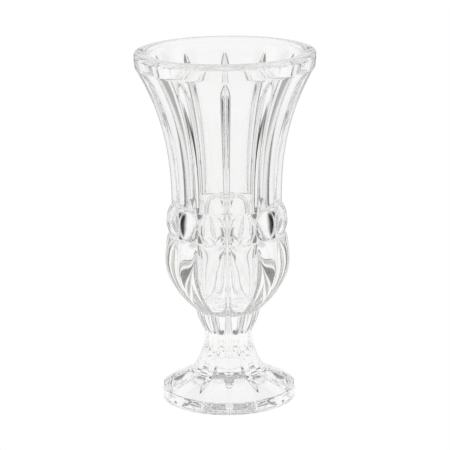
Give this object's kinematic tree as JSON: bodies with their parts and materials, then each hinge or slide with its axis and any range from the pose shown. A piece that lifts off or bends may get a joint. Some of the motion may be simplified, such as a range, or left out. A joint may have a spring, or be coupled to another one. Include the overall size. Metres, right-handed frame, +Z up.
{
  "type": "footed vase",
  "caption": "Tall footed vase of clear cut crystal: flared fluted trumpet mouth, bossed belt, gadrooned lower bowl, waisted fluted stem and spreading ribbed foot.",
  "frame": {"origin": "on the vase's axis, in the plane of the foot's resting ring", "axes": "+Z up along the vase's axis to the mouth; +X runs through a crease between two lobes"},
  "size_m": [0.152, 0.152, 0.3],
  "materials": {
    "crystal": "fire-polished"
  },
  "bodies": {
    "root": {"bowl": "crystal", "collar": "crystal", "stem": "crystal", "foot": "crystal"}
  },
  "joints": []
}
